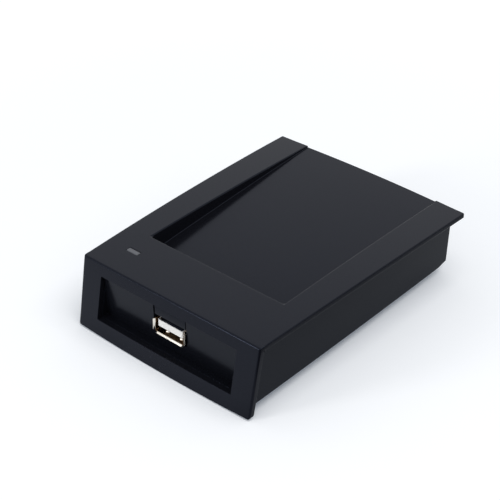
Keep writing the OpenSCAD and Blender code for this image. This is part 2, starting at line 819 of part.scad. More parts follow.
module crystal_leads() {
    color([0.8, 0.8, 0.8]) for (p = crystal_holes()) post(p, board_z - lead_below, board_top, lead_d);
}

module voltage_regulator() {
    color([0.1, 0.1, 0.11]) block(on_board(regulator_share), board_top + pin_t, regulator_size);
}

module regulator_pins() {
    p = on_board(regulator_share);
    l = regulator_size[1] / 2 + pin_reach;
    color([0.8, 0.8, 0.8]) union() {
        for (i = [-1, 0, 1])
            translate([p[0] + i * regulator_pin_spacing - regulator_pin_w / 2, p[1] - l, board_top])
                cube([regulator_pin_w, l, pin_t]);
        translate([p[0] - regulator_tab_w / 2, p[1], board_top]) cube([regulator_tab_w, l, pin_t]);
        translate([p[0] - regulator_size[0] / 2, p[1] - pin_reach / 2, board_top])
            cube([regulator_size[0], pin_reach, pin_t]);
    }
}

module electrolytic_capacitors() {
    groove_z = board_top + can_h * can_groove_share;
    color([0.12, 0.13, 0.2]) for (c = cans_shares) {
        p = on_board(c);
        union() {
            post(p, board_top, groove_z, can_d);
            post(p, groove_z - bite, groove_z + can_groove + bite, can_d - 2 * can_groove);
            post(p, groove_z + can_groove, board_top + can_h, can_d);
        }
    }
}

module capacitor_leads() {
    color([0.8, 0.8, 0.8]) for (p = can_holes()) post(p, board_z - lead_below, board_top, lead_d);
}

module ceramic_capacitors() {
    color([0.72, 0.6, 0.42]) for (c = capacitors_shares)
        block(on_board(c), board_top, [smd_w, smd_l, cap_t]);
}

module chip_resistors() {
    color([0.12, 0.12, 0.13]) for (c = resistors_shares)
        block(on_board(c), board_top, [smd_w, smd_l, resistor_t]);
}

module matching_inductors() {
    color([0.35, 0.33, 0.32]) for (c = inductors_shares)
        block(on_board(c), board_top, [inductor_s, smd_l, inductor_h]);
}

module buzzer_transistor() {
    color([0.1, 0.1, 0.11]) block(on_board(transistor_share), board_top, transistor_size);
}

// Antenna

module antenna_board() {
    color([0.05, 0.3, 0.14]) difference() {
        on_slope() difference() {
            block([0, antenna_y], -standoff_h - antenna_t, [antenna_w, antenna_l, antenna_t]);
            for (p = antenna_places)
                post(p, -standoff_h - antenna_t - over, over, antenna_screw_d + 2 * fit_gap);
        }
        for (p = header_places) post(p, board_top, reader_h, header_hole_d);
    }
}

// One rectangular turn of the spiral: three full sides and one that steps in to the next turn
function turn_points(i) = let (
    x = antenna_w / 2 - trace_inset - i * trace_spacing,
    y = antenna_l / 2 - trace_inset - i * trace_spacing)
    [[-x, -y], [x, -y], [x, y], [-x, y], [-x, -y + trace_spacing]];
trace_path = [for (i = [0 : turns - 1]) each turn_points(i)];

module antenna_traces() {
    color([0.8, 0.5, 0.25]) on_slope() translate([0, antenna_y, -standoff_h]) linear_extrude(trace_t)
        for (i = [0 : len(trace_path) - 2]) {
            a = trace_path[i];
            b = trace_path[i + 1];
            half = trace_w / 2;
            translate([min(a[0], b[0]) - half, min(a[1], b[1]) - half])
                square([abs(a[0] - b[0]) + trace_w, abs(a[1] - b[1]) + trace_w]);
        }
}

module antenna_screws() {
    seat = -standoff_h - antenna_t;
    color([0.75, 0.74, 0.7]) on_slope() for (p = antenna_places) union() {
        post(p, seat - antenna_screw_head_h, seat, antenna_screw_head_d);
        post(p, seat - bite, thread_bite - standoff_h - fit_gap, antenna_screw_d);
    }
}

module header_strip() {
    color([0.08, 0.08, 0.08]) difference() {
        block([0, header_places[0][1]], board_top,
            [header_spacing * header_ways, header_spacing, header_strip_h]);
        for (p = header_places) block(p, board_z, [
            header_pin_w + slot_gap, header_pin_w + slot_gap, board_t + header_strip_h + over]);
    }
}

module header_pins() {
    color([0.85, 0.7, 0.4]) for (p = header_places)
        block(p, board_z - lead_below, [header_pin_w, header_pin_w, header_top - board_z + lead_below]);
}

top_cover();
bottom_housing();
rubber_feet();
housing_screws();
circuit_board();
board_screws();
usb_shell();
usb_insulator();
usb_contacts();
status_light();
light_leads();
buzzer();
buzzer_pins();
microcontroller();
microcontroller_pins();
reader_chip();
reader_chip_pins();
crystals();
crystal_leads();
voltage_regulator();
regulator_pins();
electrolytic_capacitors();
capacitor_leads();
ceramic_capacitors();
chip_resistors();
matching_inductors();
buzzer_transistor();
antenna_board();
antenna_traces();
antenna_screws();
header_strip();
header_pins();
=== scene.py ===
import bmesh
import bpy
import math
import numpy as np
from mathutils import Matrix


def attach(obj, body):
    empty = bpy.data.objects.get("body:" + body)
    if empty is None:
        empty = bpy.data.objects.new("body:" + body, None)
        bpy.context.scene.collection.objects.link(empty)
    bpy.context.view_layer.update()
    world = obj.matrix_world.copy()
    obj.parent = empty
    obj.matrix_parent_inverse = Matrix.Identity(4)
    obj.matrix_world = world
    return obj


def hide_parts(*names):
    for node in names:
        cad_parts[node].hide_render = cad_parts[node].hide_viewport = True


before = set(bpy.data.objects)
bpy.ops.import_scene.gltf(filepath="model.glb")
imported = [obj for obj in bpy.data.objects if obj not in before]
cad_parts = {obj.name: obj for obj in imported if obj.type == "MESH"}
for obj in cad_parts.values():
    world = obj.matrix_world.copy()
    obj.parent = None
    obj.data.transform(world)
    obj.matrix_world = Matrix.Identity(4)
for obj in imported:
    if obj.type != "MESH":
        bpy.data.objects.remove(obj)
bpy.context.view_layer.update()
mm = 0.001
tiny = 1e-6  # slack when places in a lattice are compared
print("frame loaded:", len(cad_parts), "nodes")

# Sizes of the reader in millimetres. Most are those of the part's source. The flange, the panel's gap, foot
# and foot radius, the draft, the recess's rear depth and the bows were measured again on the photograph, and
# these values are only here.
reader = dict(
    length=110, height=26, frontWidth=76, rearWidth=82,
    flange=2.0, lean=4.2, panel=2.2, panelGap=0.1, panelFoot=75.6, footRadius=1.1,
    recessWidth=57.8, recessFront=26.5, recessDeep=6.5, recessShallow=0.55, recessRadius=1.5,
    pocketWall=1.6, pocketFloor=1.8,
    windowWidth=58.8, windowLow=5.9, windowHigh=21.7, windowDepth=5.4, wallTop=21.5, wallLean=0.8, wall=1.8,
    cheek=1.5, bodyWidth=73.2, draft=0.2, rearInset=0.4, bodyWall=2.0, floorLow=3.6, floorHigh=5.4, fit=0.2,
    slotWidth=14.2, slotLow=10.3,
    sideBow=0.45, crown=0.7, rearBow=1.2, rearOut=0.3, footBow=0.65, footRise=0.5, bodyBow=0.3)
frontY = -reader["length"] / 2
rearY = reader["length"] / 2
recessY = frontY + reader["recessFront"]


def panelLean(z):
    # lean of the front panel: lean * (z - gap) / (height - gap)
    return reader["lean"] * (z - reader["panelGap"]) / (reader["height"] - reader["panelGap"])


def bow(place, half):
    # a shallow arch, 1 in the middle and 0 at both ends: 1 - (place / half)^2
    return 1 - (place / half) ** 2


def lengthBow(y):
    # bow(y) over the reader's length, and nothing beyond its ends
    return np.maximum(bow(y, reader["length"] / 2), 0)


def topCrown(y):
    # the top plate arches a little along its length: crown * length bow(y)
    return reader["crown"] * lengthBow(y)


def panelBow(x, z):
    # the front panel is a little rounded in plan: foot bow * bow(x) * (1 - share of the height)
    share = (z - reader["panelGap"]) / (reader["height"] - reader["panelGap"])
    return reader["footBow"] * bow(x, reader["frontWidth"] / 2) * (1 - share)


def recessFloor(y):
    # floor of the card recess: a straight slope from its deep front to its shallow rear
    share = (y - recessY) / (rearY - recessY)
    return reader["height"] - reader["recessDeep"] + (reader["recessDeep"] - reader["recessShallow"]) * share


def wallY(z):
    # front of the wall behind the window: its foot's Y, less lean * (z - foot) / (top - foot)
    share = (z - reader["windowLow"]) / (reader["wallTop"] - reader["windowLow"])
    return frontY + reader["windowDepth"] - reader["wallLean"] * share


# Surfaces

def latticeSkin(boxes, more=((), (), ())):
    # boxes: rows (fill, x0, x1, y0, y1, z0, z1), 1 adds and 0 cuts, later rows win.
    # The boxes' sides, and more lines where a side is to be curved, are the break lines of a lattice of
    # cells. Between a filled cell and an empty one lies one quad, wound so that it looks out of the filled
    # cell.
    table = np.array(boxes, float)
    lines = [np.unique(np.round(np.append(table[:, 1 + 2 * a:3 + 2 * a], more[a]), 5)) for a in range(3)]
    middles = [(line[1:] + line[:-1]) / 2 for line in lines]
    filled = np.zeros([len(m) for m in middles], bool)
    for fill, *sides in table:
        inside = [(m > sides[2 * a]) & (m < sides[2 * a + 1]) for a, m in enumerate(middles)]
        filled[np.ix_(*inside)] = bool(fill)
    padded = np.pad(filled, 1).astype(np.int8)
    unit = np.eye(3, dtype=int)
    quads = []
    for axis in range(3):
        step = np.diff(padded, axis=axis)
        step = step[tuple(slice(None) if a == axis else slice(1, -1) for a in range(3))]
        u, v = unit[(axis + 1) % 3], unit[(axis + 2) % 3]
        for sign, order in ((-1, [0, 1, 2, 3]), (1, [3, 2, 1, 0])):
            at = np.argwhere(step == sign)
            quads.append(np.stack([at, at + u, at + u + v, at + v], axis=1)[:, order])
    quads = np.concatenate(quads)
    shape = [len(line) for line in lines]
    flat, faces = np.unique(np.ravel_multi_index(quads.reshape(-1, 3).T, shape), return_inverse=True)
    index = np.unravel_index(flat, shape)
    points = np.stack([lines[a][index[a]] for a in range(3)], axis=1)
    return points, faces.reshape(-1, 4)


def gridFaces(rows, columns, closeRows=False, closeColumns=False):
    # quads between the neighbours of a rows x columns grid of points
    r = np.arange(rows if closeRows else rows - 1)[:, None]
    c = np.arange(columns if closeColumns else columns - 1)[None, :]
    nextR, nextC = (r + 1) % rows, (c + 1) % columns
    quads = [r * columns + c, nextR * columns + c, nextR * columns + nextC, r * columns + nextC]
    return np.stack([np.broadcast_to(q, (r.size, c.size)) for q in quads], axis=-1).reshape(-1, 4)


def turned(profile, centre, steps=48):
    # a profile of (radius, height) turned about an upright axis: x = r cos a, y = r sin a, z = h
    profile = np.asarray(profile, float)
    angle = np.arange(steps) * 2 * np.pi / steps
    r, h = profile[:, 0][:, None], profile[:, 1][:, None]
    points = np.stack([centre[0] + r * np.cos(angle), centre[1] + r * np.sin(angle),
                       h + 0 * angle], axis=-1).reshape(-1, 3)
    return points, gridFaces(len(profile), steps, closeColumns=True)[:, ::-1]


def swept(path, across, up, section):
    # one closed section for each point of a path: point = path + u * across + v * up
    path, across, up = (np.asarray(a, float)[:, None, :] for a in (path, across, up))
    section = np.asarray(section, float)
    points = path + section[..., :1] * across + section[..., 1:] * up
    return points.reshape(-1, 3), gridFaces(path.shape[0], section.shape[1], closeColumns=True)


def roundRectangle(width, height, radius, steps=8):
    # four quarter circles of one radius, centred at the corners of a smaller rectangle
    quarter = np.linspace(0, np.pi / 2, steps + 1)
    turn = np.concatenate([quarter + k * np.pi / 2 for k in range(4)])
    side = np.repeat([[1, 1], [-1, 1], [-1, -1], [1, -1]], steps + 1, axis=0)
    centres = side * [width / 2 - radius, height / 2 - radius]
    return centres + radius * np.stack([np.cos(turn), np.sin(turn)], axis=1)


def joined(*shapes):
    # several (points, faces) as one
    offsets = np.cumsum([0] + [len(p) for p, _ in shapes[:-1]])
    return (np.concatenate([p for p, _ in shapes]),
            np.concatenate([f + o for (_, f), o in zip(shapes, offsets)]))


def makePiece(name, shape, material, nodes):
    # points in millimetres become a mesh in metres; doubles are merged, so that seams and poles are closed,
    # and then every closed part has its faces turned outwards
    points, faces = shape
    mesh = bpy.data.meshes.new(name)
    mesh.from_pydata((points * mm).tolist(), [], faces.tolist())
    skin = bmesh.new()
    skin.from_mesh(mesh)
    bmesh.ops.remove_doubles(skin, verts=skin.verts, dist=0.0001 * mm)
    bmesh.ops.recalc_face_normals(skin, faces=skin.faces)
    skin.to_mesh(mesh)
    skin.free()
    mesh.polygons.foreach_set("use_smooth", np.ones(len(mesh.polygons), bool))
    mesh.materials.append(material)
    piece = bpy.data.objects.new(name, mesh)
    bpy.context.scene.collection.objects.link(piece)
    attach(piece, "root")
    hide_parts(*nodes)
    return piece


def smallBevel(piece, width, segments, degrees, clamp):
    # rounds the edges that are still sharper than an angle, and then evens out the shading of the flats
    edge = piece.modifiers.new("edges", "BEVEL")
    edge.limit_method, edge.angle_limit = "ANGLE", math.radians(degrees)
    edge.width, edge.segments, edge.use_clamp_overlap = width * mm, segments, clamp
    level = piece.modifiers.new("flats", "WEIGHTED_NORMAL")
    level.mode = "FACE_AREA_WITH_ANGLE"
    return piece


def crease(piece, degrees=35):
    # edges sharper than this keep a hard line in the shading
    return smallBevel(piece, width=0.04, segments=2, degrees=degrees, clamp=True)


def roundEdges(piece, lattice, corners, edge, segments=6):
    # Edges that a rule names by their place in the lattice get its radius as a weight, and then every
    # edge that is still sharp gets the small one. A rule gives an axis one value or a span (low, high),
    # and X counts on both sides of the middle.
    mesh, slack = piece.data, 1e-4
    ends = np.empty(len(mesh.edges) * 2, int)
    mesh.edges.foreach_get("vertices", ends)
    ends = ends.reshape(-1, 2)
    places = dict(x=np.abs(lattice[:, 0]), y=lattice[:, 1], z=lattice[:, 2])
    largest = max(radius for radius, _ in corners)
    weight = np.zeros(len(ends))
    for radius, rule in corners:
        on = np.ones(len(lattice), bool)
        for axis, value in rule.items():
            low, high = value if isinstance(value, tuple) else (value, value)
            on &= (places[axis] > low - slack) & (places[axis] < high + slack)
        weight[on[ends].all(axis=1)] = radius / largest
    mesh.attributes.new("bevel_weight_edge", "FLOAT", "EDGE").data.foreach_set("value", weight)
    big = piece.modifiers.new("corners", "BEVEL")
    big.limit_method, big.width, big.segments = "WEIGHT", largest * mm, segments
    big.use_clamp_overlap = False
    return smallBevel(piece, edge, segments=3, degrees=35, clamp=False)


# Materials

def finish(name, colour, spread=0.1, scale=900, rough=0.5, roughSpread=0.05, metal=0.0, bump=0.0,
           bumpScale=2500, coat=0.0, specular=0.5, tint=(1, 1, 1), patches=60):
    # fine grain moves the colour and the normal, broad patches move the roughness
    material = bpy.data.materials.new(name)
    material.use_nodes = True
    nodes, links = material.node_tree.nodes, material.node_tree.links
    shader = nodes["Principled BSDF"]
    shader.inputs["Metallic"].default_value = metal
    shader.inputs["Specular IOR Level"].default_value = specular
    shader.inputs["Coat Weight"].default_value = coat
    shader.inputs["Specular Tint"].default_value = list(tint) + [1]
    place = nodes.new("ShaderNodeTexCoord")
    least, most = 0.3, 0.7  # nearly all of a noise lies between these

    def noise(size, detail):
        texture = nodes.new("ShaderNodeTexNoise")
        texture.inputs["Scale"].default_value = size
        texture.inputs["Detail"].default_value = detail
        links.new(place.outputs["Object"], texture.inputs["Vector"])
        return texture

    grain = noise(scale, 3)
    blend = nodes.new("ShaderNodeValToRGB")
    blend.color_ramp.elements[0].position = least
    blend.color_ramp.elements[1].position = most
    blend.color_ramp.elements[0].color = [c * (1 - spread) for c in colour] + [1]
    blend.color_ramp.elements[1].color = [min(1, c * (1 + spread)) for c in colour] + [1]
    links.new(grain.outputs["Fac"], blend.inputs["Fac"])
    links.new(blend.outputs["Color"], shader.inputs["Base Color"])
    broad = noise(patches, 2)
    level = nodes.new("ShaderNodeMapRange")
    level.inputs["From Min"].default_value, level.inputs["From Max"].default_value = least, most
    level.inputs["To Min"].default_value = max(0.02, rough - roughSpread)
    level.inputs["To Max"].default_value = min(1.0, rough + roughSpread)
    links.new(broad.outputs["Fac"], level.inputs["Value"])
    links.new(level.outputs["Result"], shader.inputs["Roughness"])
    if bump:
        fine = noise(bumpScale, 2)
        relief = nodes.new("ShaderNodeBump")
        relief.inputs["Strength"].default_value = 1.0
        relief.inputs["Distance"].default_value = bump * mm
        links.new(fine.outputs["Fac"], relief.inputs["Height"])
        links.new(relief.outputs["Normal"], shader.inputs["Normal"])
    return material


finishes = dict(
    cover=finish("coverPlastic", (0.0056, 0.006, 0.0085), spread=0.12, scale=1500, rough=0.2,
                 roughSpread=0.015, bump=0.003, bumpScale=1800, specular=0.165, tint=(0.58, 0.68, 1.0),
                 patches=40),
    housing=finish("housingPlastic", (0.005, 0.0056, 0.0082), spread=0.12, scale=1500, rough=0.2,
                   roughSpread=0.015, bump=0.003, bumpScale=1800, specular=0.125, tint=(0.5, 0.64, 1.0),
                   patches=40),
    rubber=finish("footRubber", (0.012, 0.012, 0.012), rough=0.8, bump=0.02, bumpScale=1200, specular=0.3),
    screw=finish("screwSteel", (0.5, 0.49, 0.46), rough=0.32, roughSpread=0.1, metal=1.0, spread=0.12,
                 bump=0.004),
    board=finish("boardLaminate", (0.012, 0.11, 0.045), rough=0.32, spread=0.2, scale=350, coat=0.3,
                 bump=0.003),
    nickel=finish("socketNickel", (0.8, 0.755, 0.68), rough=0.14, roughSpread=0.04, metal=1.0, spread=0.05,
                  scale=700, bump=0.0015, bumpScale=900),
    # a darker, brown copy of the socket's nickel for the inside of the tube and the rim's face: painted shade
    nickelPaintedShade=finish("socketNickelPaintedShade", (0.17, 0.105, 0.055), rough=0.22, roughSpread=0.06, metal=1.0,
                        spread=0.2, scale=700, bump=0.0015, bumpScale=900),
    tongue=finish("socketPlastic", (0.96, 0.96, 0.95), rough=0.32, spread=0.02, scale=600, bump=0.003),
    gold=finish("contactGold", (0.9, 0.66, 0.28), rough=0.22, metal=1.0, spread=0.06, scale=800),
    lens=finish("lightLens", (0.058, 0.063, 0.078), rough=0.3, spread=0.08, scale=500, bump=0.002, coat=0.2),
    tin=finish("leadTin", (0.7, 0.7, 0.69), rough=0.3, metal=1.0, spread=0.08, scale=900),
    epoxy=finish("componentBlack", (0.018, 0.018, 0.02), rough=0.6, spread=0.15, bump=0.006),
    can=finish("canMetal", (0.68, 0.68, 0.67), rough=0.28, metal=1.0, spread=0.06, scale=700),
    sleeve=finish("canSleeve", (0.018, 0.02, 0.05), rough=0.3, spread=0.12, coat=0.3),
    ceramic=finish("ceramicBody", (0.3, 0.19, 0.095), rough=0.6, spread=0.12, bump=0.004),
    ferrite=finish("ferriteBody", (0.06, 0.058, 0.055), rough=0.65, spread=0.15, bump=0.006),
    copper=finish("antennaCopper", (0.72, 0.36, 0.16), rough=0.3, metal=1.0, spread=0.1, scale=600, coat=0.4))
print("materials made:", len(finishes))

cadFinishes = dict(
    circuit_board="board", board_screws="screw", light_leads="tin", buzzer="epoxy", buzzer_pins="tin",
    microcontroller="epoxy", microcontroller_pins="tin", reader_chip="epoxy", reader_chip_pins="tin",
    crystals="can", crystal_leads="tin", voltage_regulator="epoxy", regulator_pins="tin",
    electrolytic_capacitors="sleeve", capacitor_leads="tin", ceramic_capacitors="ceramic",
    chip_resistors="epoxy", matching_inductors="ferrite", buzzer_transistor="epoxy", antenna_board="board",
    antenna_traces="copper", antenna_screws="screw", header_strip="epoxy", header_pins="gold",
    usb_contacts="gold")
for node, key in cadFinishes.items():
    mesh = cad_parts[node].data
    mesh.materials.clear()
    mesh.materials.append(finishes[key])
print("carried-over nodes dressed:", len(cadFinishes))


# Top cover. The bends are more lattice lines, where the bows curve its sides.
cover = dict(topEdge=0.65, rearCorner=0.25, sideEdge=0.7, plateEdge=0.4, recessEdge=0.5, edge=0.22, rim=0.05,
             collar=0.25, lightRim=0.05, lightX=-27.0, lightY=-38.7, lightLength=5.0, lightWidth=2.2,
             bossX=30.4, bossRadius=3.0, frontBossY=-33.0, rearBossY=37.7, bossLow=11.0, bossChamfer=0.3,
             bossBore=1.5, boreTop=20, bossSink=0.1, floorSink=1.2,
             bendXs=np.append(np.arange(-22, 23, 5.5), [-34.5, 34.5]),
             bendYs=np.append(-47, np.arange(-23, 48, 7)))


def coverShape(points):
    # lattice to real: the outer sides follow the plate's taper and the panel's draft, the panel's two planes
    # lean, the planes of the pocket follow the sloping floor, and the bows and the arch are added to them
    x, y, z = points.T
    r = reader
    side, wide = r["frontWidth"] / 2, r["recessWidth"] / 2
    topFront = frontY + r["lean"]
    onPanel = y <= frontY + r["panel"] + tiny
    realY = np.where(onPanel, y + panelLean(z) - panelBow(x, z), y)
    realY = realY + np.where(y > rearY - tiny, r["rearOut"] + r["rearBow"] * bow(x, side), 0)
    taper = (r["rearWidth"] - r["frontWidth"]) / 2 * (realY - topFront) / (rearY - topFront)
    draft = (r["frontWidth"] - r["panelFoot"]) / 2 * (r["height"] - z) / (r["height"] - r["panelGap"])
    half = side + np.maximum(taper, 0) - np.where(onPanel, draft, 0) + r["sideBow"] * lengthBow(realY)
    realX = np.where(np.abs(x) > side - tiny, np.sign(x) * half, x)
    floor, under = recessFloor(y), recessFloor(y) - r["pocketFloor"]
    flange = r["height"] - r["flange"]
    low, high = r["height"] - r["recessDeep"] - r["pocketFloor"], r["height"] - r["recessDeep"]
    pocket = (np.abs(x) <= wide + r["pocketWall"] + tiny) & (y >= recessY - r["pocketWall"] - tiny)
    inside = (np.abs(x) <= wide + tiny) & (y >= recessY - tiny)
    upInside = floor + (r["height"] - floor) * (z - high) / (r["height"] - high)
    upOutside = under + (flange - under) * (z - low) / (flange - low)
    realZ = np.where(pocket & inside, np.where(z > high, upInside, z + floor - high),
                     np.where(pocket & (z < flange), upOutside, z))
    realZ = np.where(pocket & inside & (z <= low + tiny), under, realZ)
    realZ = realZ + np.where(z >= low - tiny, topCrown(realY), 0)
    foot = onPanel & (z <= r["panelGap"] + tiny)
    realZ = realZ + np.where(foot, r["footRise"] * (x / side) ** 2, 0)
    return np.stack([realX, realY, realZ], axis=1)


def makeCover():
    r, c = reader, cover
    side, top = r["frontWidth"] / 2, r["height"]
    flange = top - r["flange"]
    wide, wall = r["recessWidth"] / 2, r["pocketWall"]
    high = top - r["recessDeep"]
    half, back, near = r["windowWidth"] / 2, frontY + r["panel"], c["collar"]
    lightXs = (c["lightX"] - c["lightLength"] / 2, c["lightX"] + c["lightLength"] / 2)
    lightYs = (c["lightY"] - c["lightWidth"] / 2, c["lightY"] + c["lightWidth"] / 2)
    boxes = [
        (1, -side, side, frontY, rearY, flange, top),
        (1, -side, side, frontY, back, r["panelGap"], top),
        (1, -wide - wall, wide + wall, recessY - wall, rearY, high - r["pocketFloor"], top),
        (0, -wide, wide, recessY, rearY, high, top),
        (1, -half - near, half + near, frontY, back, r["windowLow"] - near, r["windowHigh"] + near),
        (0, -half, half, frontY, back, r["windowLow"], r["windowHigh"]),
        (0, *lightXs, *lightYs, flange, top)]
    lattice, faces = latticeSkin(boxes, (c["bendXs"], c["bendYs"], ()))
    shape = coverShape(lattice), faces
    piece = makePiece("coverShell", shape, finishes["cover"], ["top_cover"])
    corners = [
        (r["recessRadius"], dict(x=wide, y=recessY)),
        (r["footRadius"], dict(x=side, z=r["panelGap"])),
        (c["rearCorner"], dict(x=side, y=rearY)),
        (c["sideEdge"], dict(x=side, y=frontY)),
        (c["topEdge"], dict(y=frontY, z=top)),
        (c["plateEdge"], dict(x=side, y=(back, rearY), z=top)),
        (c["plateEdge"], dict(x=side, y=(back, rearY), z=flange)),
        (c["recessEdge"], dict(x=wide, y=(recessY, rearY), z=top)),
        (c["recessEdge"], dict(x=(0, wide), y=recessY, z=top))]
    levels = (r["windowLow"], r["windowHigh"])
    for z in levels:
        corners.append((c["rim"], dict(x=half, z=z)))
        corners += [(c["rim"], dict(x=(0, half), y=y, z=z)) for y in (frontY, back)]
    corners += [(c["rim"], dict(x=half, y=y, z=levels)) for y in (frontY, back)]
    lightXs = (-lightXs[1], -lightXs[0])  # a rule's X counts from the middle
    corners += [(c["lightRim"], dict(x=x, y=lightYs, z=(flange, top))) for x in lightXs]
    corners += [(c["lightRim"], dict(x=lightXs, y=y, z=(flange, top))) for y in lightYs]
    return roundEdges(piece, lattice, corners, c["edge"])


def makeCoverInside():
    # the bosses for the housing screws; the rear ones end in the floor of the card recess
    r, c = reader, cover
    radius, low, bore, chamfer = c["bossRadius"], c["bossLow"], c["bossBore"], c["bossChamfer"]
    tops = ((c["frontBossY"], r["height"] - r["flange"] + c["bossSink"]),
            (c["rearBossY"], recessFloor(c["rearBossY"]) - c["floorSink"]))
    bosses = [turned([(0, top), (radius, top), (radius, low + chamfer), (radius - chamfer, low), (bore, low),
                      (bore, c["boreTop"]), (0, c["boreTop"])], (sx * c["bossX"], y))
              for sx in (-1, 1) for y, top in tops]
    return crease(makePiece("coverBosses", joined(*bosses), finishes["cover"], ["top_cover"]))


# The tab above the socket. Its left gap shows wider than its right one.
tab = dict(leftGap=0.58, rightGap=0.28, low=17.2, high=24.6, lap=0.1, lowEdge=0.12, edge=0.08)


def makeSocketTab():
    # fills the wall's slot above the socket: its front is in the wall's plane up to the panel,
    # and from there it leans back with the panel
    r, t = reader, tab
    left, right = t["leftGap"] - r["slotWidth"] / 2, r["slotWidth"] / 2 - t["rightGap"]
    low, knee, high = t["low"], r["windowHigh"] + t["lap"], t["high"]
    lattice, faces = latticeSkin([(1, left, right, 0, 1, low, knee), (1, left, right, 0, 1, knee, high)])
    x, y, z = lattice.T
    front = np.where(z > knee, frontY + panelLean(z) + r["panel"] - t["lap"], wallY(z))
    points = np.stack([x, front + y * (wallY(low) + r["wall"] - front), z], axis=1)
    piece = makePiece("socketTab", (points, faces), finishes["housing"], ["top_cover"])
    return roundEdges(piece, lattice, [(t["lowEdge"], dict(z=low))], t["edge"])


makeCover()
makeCoverInside()
makeSocketTab()
print("top cover made")


# Bottom housing
housing = dict(rearCorner=0.5, lowEdge=0.5, rearLowEdge=1.0, rearRise=0.9, rearRun=5.0, edge=0.22, rim=0.05,
               collar=0.25, panelSeam=0.06, screwHole=2.8, holeRound=0.02, screwX=30.4, screwYs=(-33.0, 37.7),
               webLow=8.9, threadHole=1.65, tubeRadius=3.7, tubeHigh=10.9, tubeSink=0.1,
               bendXs=np.arange(-22, 23, 5.5), bendYs=np.append(np.arange(-45, 30, 10), 45))


def housingShape(points):
    # lattice to real: draft on the two sides and the rear, a front edge that leans with the panel, an
    # underside that rises a little over its last few millimetres, and a rim that follows the plate's arch
    x, y, z = points.T
    r, h = reader, housing
    inner, rear = r["bodyWidth"] / 2 - r["bodyWall"], rearY - r["rearInset"]
    front = frontY + r["panel"] + h["panelSeam"]
    rim = r["height"] - r["flange"] - r["fit"] / 2
    inward = r["draft"] * (rim - z) / (rim - r["floorLow"])
    outward = r["bodyBow"] * lengthBow(y)
    realX = np.where(np.abs(x) > inner - tiny, x + np.sign(x) * (outward - inward), x)
    realY = np.where(y > rear - r["bodyWall"] - tiny, y - inward, y)
    realY = np.where(y <= front + h["collar"] + tiny, y + panelLean(z) - panelBow(x, z), realY)
    realY = np.where(np.isclose(y, frontY + r["windowDepth"] + r["wall"]), wallY(z) + r["wall"], realY)
    share = np.clip((y - (rear - h["rearRun"])) / h["rearRun"], 0, 1)
    realZ = z + h["rearRise"] * share * np.isclose(z, r["floorLow"]) + topCrown(y) * np.isclose(z, rim)
    return np.stack([realX, realY, realZ], axis=1)


def makeHousing():
    r, h = reader, housing
    side, rear = r["bodyWidth"] / 2, rearY - r["rearInset"]
    front = frontY + r["panel"] + h["panelSeam"]
    behind = frontY + r["windowDepth"] + r["wall"]
    rim = r["height"] - r["flange"] - r["fit"] / 2
    low, floor, sill = r["floorLow"], r["floorHigh"], r["windowLow"]
    inner, hole, near = side - r["bodyWall"], h["screwHole"], h["collar"]
    window, cheek = r["windowWidth"] / 2, r["windowWidth"] / 2 + r["cheek"]
    boxes = [
        (1, -side, side, front, rear, low, rim),
        (1, -side, side, rear - h["rearRun"], rear, low, rim),
        (0, -inner, inner, front, rear - r["bodyWall"], floor, rim),
        (1, -cheek, cheek, front, behind, low, r["wallTop"]),
        (1, -window - near, window + near, front, front + near, sill - near, sill),
        (0, -window, window, front, behind, sill, rim)]
    boxes += [(0, sx * h["screwX"] - hole, sx * h["screwX"] + hole, y - hole, y + hole, low, floor)
              for sx in (-1, 1) for y in h["screwYs"]]
    lattice, faces = latticeSkin(boxes, (h["bendXs"], h["bendYs"], ()))
    shape = housingShape(lattice), faces
    piece = makePiece("housingShell", shape, finishes["housing"], ["bottom_housing"])
    corners = [(h["rearCorner"], dict(x=side, y=rear)), (h["lowEdge"], dict(x=side, z=low)),
               (h["rearLowEdge"], dict(y=rear, z=low)), (h["rim"], dict(x=(0, window), y=front, z=sill)),
               (h["rim"], dict(x=window, y=front, z=(sill, r["wallTop"]))),
               (h["rim"], dict(x=window, z=sill))]
    corners += [(hole - h["holeRound"], dict(x=h["screwX"] + s * hole, y=y + t * hole))
                for s in (-1, 1) for t in (-1, 1) for y in h["screwYs"]]
    return roundEdges(piece, lattice, corners, h["edge"])


# The wall behind the window
backWall = dict(reach=0.5, meets=15.6, lap=0.1, topEdge=0.1, edge=0.06, stripLap=0.3, stripLow=0.05,
                stripBack=0.02)


def makeWall():
    # the wall that closes the window from behind, with the slot for the socket. Below the level where it
    # meets the back of the panel it reaches into the cheeks; above, two strips behind the panel do that.
    r, b = reader, backWall
    half, slot, thick, reach = r["windowWidth"] / 2, r["slotWidth"] / 2, r["wall"], b["reach"]
    low, meets, top = r["windowLow"] - b["lap"], b["meets"], r["wallTop"]
    lattice, faces = latticeSkin([(1, -half - reach, half + reach, 0, 1, low, meets),
                                  (1, r["fit"] - half, half - r["fit"], 0, 1, meets, top),
                                  (0, -slot, slot, 0, 1, r["slotLow"], top)])
    x, y, z = lattice.T
    shape = np.stack([x, wallY(z) + y * thick, z], axis=1), faces
    wall = makePiece("windowWall", shape, finishes["housing"], ["bottom_housing"])
    roundEdges(wall, lattice, [(b["topEdge"], dict(z=top))], b["edge"])
    sides = ((-half - reach, reach - half), (half - reach, half + reach))
    strips = [latticeSkin([(1, *xs, 0, 1, meets - b["stripLap"], top - b["stripLow"])]) for xs in sides]
    points, faces = joined(*strips)
    x, y, z = points.T
    front = frontY + panelLean(z) - panelBow(x, z) + r["panel"] + housing["panelSeam"]
    shape = np.stack([x, front + y * (wallY(z) + thick - b["stripBack"] - front), z], axis=1), faces
    return crease(makePiece("wallStrips", shape, finishes["housing"], ["bottom_housing"]))


